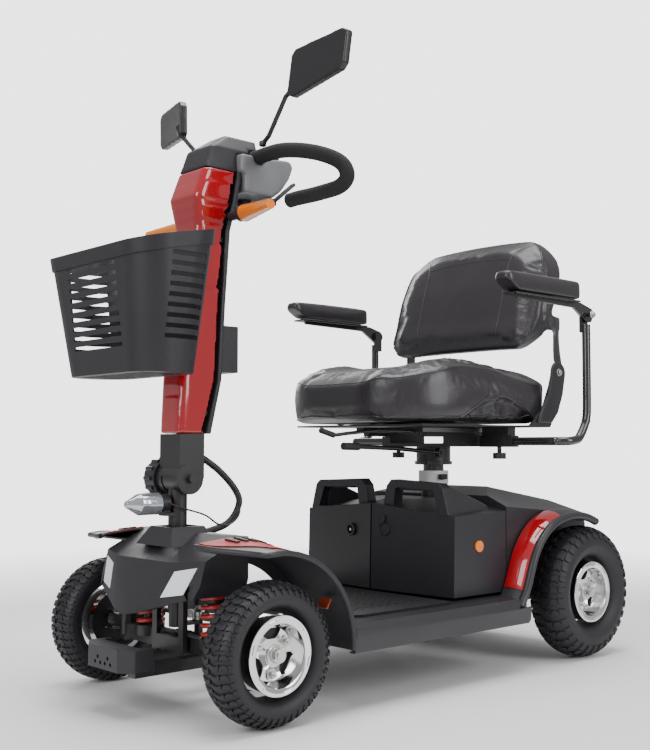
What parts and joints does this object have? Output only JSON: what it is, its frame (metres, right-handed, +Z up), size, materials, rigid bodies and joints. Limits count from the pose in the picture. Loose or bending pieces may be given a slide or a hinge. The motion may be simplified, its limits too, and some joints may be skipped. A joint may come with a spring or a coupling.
{
  "type": "mobility scooter",
  "caption": "Mobility scooter with a floor deck between front and rear wheels, tilting tiller with loop handlebar and front basket, lift-out battery packs and a swivel seat with armrests.",
  "frame": {"origin": "on the floor, under the middle of the bounding box", "axes": "the front of the scooter faces -Y, the rider's left is +X, +Z is up"},
  "size_m": [0.722, 1.2965, 1.246],
  "materials": {
    "red_shell": "gloss",
    "black_shell": "fine grain",
    "grey_console": "fine grain",
    "black_metal": "satin",
    "zinc": "zinc plated",
    "chrome": "polished",
    "tyre": "matt",
    "rubber": "matt",
    "vinyl": "grained vinyl",
    "foam_grip": "foam",
    "red_spring": "gloss",
    "clear_lens": "clear",
    "white_reflector": "prismatic",
    "amber_lens": "clear amber",
    "red_lens": "clear red",
    "mirror_case": "satin",
    "white_plastic": "satin"
  },
  "bodies": {
    "chassis": {"main_frame": "black_metal", "front_frame": "black_metal", "floor_pan": "black_shell", "floor_mat": "rubber", "front_cowl": "black_shell", "front_accents": "red_shell", "front_reflectors": "white_reflector", "front_bumper": "black_shell", "rear_cover": "black_shell", "rear_panels": "red_shell", "rear_flares": "black_shell", "tail_lamps": "red_lens", "drive_unit": "black_metal", "post_collar": "white_plastic"},
    "front_axle": {"axle_beam": "black_metal", "front_springs": "red_spring"},
    "steering": {"steering_stem": "black_metal", "headlight": "clear_lens", "wiring_conduit": "rubber", "lamp_lead": "rubber"},
    "tilt_knob": {"tilt_knob": "black_shell"},
    "tiller": {"tiller_column": "black_metal", "tiller_front": "red_shell", "tiller_rear": "black_shell", "tiller_head": "black_shell", "console": "grey_console", "handlebar": "foam_grip", "turn_signals": "amber_lens", "accessory_box": "black_shell"},
    "throttle": {"throttle_lever": "black_shell"},
    "speed_dial": {"speed_dial": "black_shell"},
    "ignition_key": {"ignition_key": "zinc"},
    "mirror_left": {"mirror_left": "mirror_case"},
    "mirror_right": {"mirror_right": "mirror_case"},
    "basket": {"basket": "black_shell"},
    "seat_post": {"seat_post": "black_metal"},
    "seat_swivel": {"seat_swivel": "black_metal"},
    "seat": {"seat_frame": "black_metal", "seat_cushion": "vinyl"},
    "seat_back": {"seat_back": "vinyl"},
    "swivel_lever": {"swivel_lever": "black_metal"},
    "slide_lever": {"slide_lever": "black_metal"},
    "knuckle_left": {"knuckle_left": "black_metal"},
    "tie_rod_left": {"tie_rod_left": "black_metal"},
    "knuckle_right": {"knuckle_right": "black_metal"},
    "tie_rod_right": {"tie_rod_right": "black_metal"},
    "wheel_front_left": {"tyre_front_left": "tyre", "rim_front_left": "chrome"},
    "wheel_front_right": {"tyre_front_right": "tyre", "rim_front_right": "chrome"},
    "wheel_rear_left": {"tyre_rear_left": "tyre", "rim_rear_left": "chrome"},
    "wheel_rear_right": {"tyre_rear_right": "tyre", "rim_rear_right": "chrome"},
    "arm_bar_left": {"arm_bar_left": "black_metal"},
    "armrest_left": {"armrest_left": "vinyl"},
    "battery_left": {"battery_left": "black_shell"},
    "arm_bar_right": {"arm_bar_right": "black_metal"},
    "armrest_right": {"armrest_right": "vinyl"},
    "battery_right": {"battery_right": "black_shell"}
  },
  "joints": [
    {"name": "tiller_steer", "type": "hinge", "parent": "chassis", "child": "steering", "pos_m": [0, -0.443, 0.3], "axis": [0, 0, 1], "range_deg": [-32, 32]},
    {"name": "tiller_tilt", "type": "hinge", "parent": "steering", "child": "tiller", "pos_m": [0, -0.439, 0.42], "axis": [1, 0, 0], "range_deg": [-8, 15], "deforming": ["wiring_conduit"]},
    {"name": "tilt_knob_turn", "type": "hinge", "parent": "steering", "child": "tilt_knob", "pos_m": [0, -0.439, 0.42], "axis": [1, 0, 0], "continuous": true},
    {"name": "throttle_turn", "type": "hinge", "parent": "tiller", "child": "throttle", "pos_m": [0, -0.287, 0.97], "axis": [0, 0, 1], "range_deg": [-10, 10], "stiffness_Nm_per_rad": 1},
    {"name": "speed_dial_turn", "type": "hinge", "parent": "tiller", "child": "speed_dial", "pos_m": [0.024, -0.23, 1.07], "axis": [0, 0, 1], "range_deg": [-135, 135]},
    {"name": "ignition_key_turn", "type": "hinge", "parent": "tiller", "child": "ignition_key", "pos_m": [-0.026, -0.228, 1.07], "axis": [0, 0, 1], "range_deg": [0, 90]},
    {"name": "mirror_left_turn", "type": "hinge", "parent": "tiller", "child": "mirror_left", "pos_m": [0.08, -0.303, 1.0765], "axis": [0, 0, 1], "range_deg": [-25, 25]},
    {"name": "mirror_right_turn", "type": "hinge", "parent": "tiller", "child": "mirror_right", "pos_m": [-0.08, -0.303, 1.0765], "axis": [0, 0, 1], "range_deg": [-25, 25]},
    {"name": "basket_lift", "type": "slide", "parent": "tiller", "child": "basket", "axis": [0, 0.065, 0.9979], "range_m": [0, 0.05]},
    {"name": "front_axle_rock", "type": "hinge", "parent": "chassis", "child": "front_axle", "pos_m": [0, -0.432, 0.112], "axis": [0, 1, 0], "range_deg": [-3, 3], "stiffness_Nm_per_rad": 460, "deforming": ["front_springs"]},
    {"name": "kingpin_left", "type": "hinge", "parent": "front_axle", "child": "knuckle_left", "pos_m": [0.196, -0.432, 0.125], "axis": [0, 0, 1], "range_deg": [-32, 32]},
    {"name": "tie_rod_left_turn", "type": "hinge", "parent": "knuckle_left", "child": "tie_rod_left", "pos_m": [0.196, -0.382, 0.152], "axis": [0, 0, 1], "range_deg": [-32, 32]},
    {"name": "kingpin_right", "type": "hinge", "parent": "front_axle", "child": "knuckle_right", "pos_m": [-0.196, -0.432, 0.125], "axis": [0, 0, 1], "range_deg": [-32, 32]},
    {"name": "tie_rod_right_turn", "type": "hinge", "parent": "knuckle_right", "child": "tie_rod_right", "pos_m": [-0.196, -0.382, 0.152], "axis": [0, 0, 1], "range_deg": [-32, 32]},
    {"name": "wheel_front_left_spin", "type": "hinge", "parent": "knuckle_left", "child": "wheel_front_left", "pos_m": [0.261, -0.432, 0.1255], "axis": [1, 0, 0], "continuous": true},
    {"name": "wheel_front_right_spin", "type": "hinge", "parent": "knuckle_right", "child": "wheel_front_right", "pos_m": [-0.261, -0.432, 0.1255], "axis": [1, 0, 0], "continuous": true},
    {"name": "wheel_rear_left_spin", "type": "hinge", "parent": "chassis", "child": "wheel_rear_left", "pos_m": [0.249, 0.5015, 0.149], "axis": [1, 0, 0], "continuous": true},
    {"name": "wheel_rear_right_spin", "type": "hinge", "parent": "chassis", "child": "wheel_rear_right", "pos_m": [-0.249, 0.5015, 0.149], "axis": [1, 0, 0], "continuous": true},
    {"name": "seat_height", "type": "slide", "parent": "chassis", "child": "seat_post", "axis": [0, 0, 1], "range_m": [0, 0.08]},
    {"name": "seat_turn", "type": "hinge", "parent": "seat_post", "child": "seat_swivel", "pos_m": [0, 0.28, 0.46], "axis": [0, 0, 1], "range_deg": [-45, 45]},
    {"name": "seat_slide", "type": "slide", "parent": "seat_swivel", "child": "seat", "axis": [0, 1, 0], "range_m": [-0.04, 0.04]},
    {"name": "seat_back_fold", "type": "hinge", "parent": "seat", "child": "seat_back", "pos_m": [0, 0.45, 0.651], "axis": [1, 0, 0], "range_deg": [0, 22]},
    {"name": "swivel_lever_lift", "type": "hinge", "parent": "seat_swivel", "child": "swivel_lever", "pos_m": [0.052, 0.247, 0.466], "axis": [-1, 0, 0], "range_deg": [0, 2.5], "stiffness_Nm_per_rad": 4},
    {"name": "slide_lever_pull", "type": "hinge", "parent": "seat", "child": "slide_lever", "pos_m": [0.0725, 0.148, 0.514], "axis": [0, 0, -1], "range_deg": [0, 10], "stiffness_Nm_per_rad": 2},
    {"name": "arm_width_left", "type": "slide", "parent": "seat", "child": "arm_bar_left", "axis": [1, 0, 0], "range_m": [0, 0.04]},
    {"name": "armrest_left_lift", "type": "hinge", "parent": "arm_bar_left", "child": "armrest_left", "pos_m": [0.335, 0.423, 0.7735], "axis": [-1, 0, 0], "range_deg": [0, 90]},
    {"name": "battery_left_out", "type": "slide", "parent": "chassis", "child": "battery_left", "axis": [0, -0.966, 0.2585], "range_m": [0, 0.11]},
    {"name": "arm_width_right", "type": "slide", "parent": "seat", "child": "arm_bar_right", "axis": [-1, 0, 0], "range_m": [0, 0.04]},
    {"name": "armrest_right_lift", "type": "hinge", "parent": "arm_bar_right", "child": "armrest_right", "pos_m": [-0.335, 0.423, 0.7735], "axis": [-1, 0, 0], "range_deg": [0, 90]},
    {"name": "battery_right_out", "type": "slide", "parent": "chassis", "child": "battery_right", "axis": [0, -0.966, 0.2585], "range_m": [0, 0.11]}
  ],
  "couplings": [
    {"joint": "kingpin_left", "follows": "tiller_steer", "ratio": 1},
    {"joint": "tie_rod_left_turn", "follows": "tiller_steer", "ratio": -1},
    {"joint": "kingpin_right", "follows": "tiller_steer", "ratio": 1},
    {"joint": "tie_rod_right_turn", "follows": "tiller_steer", "ratio": -1}
  ]
}
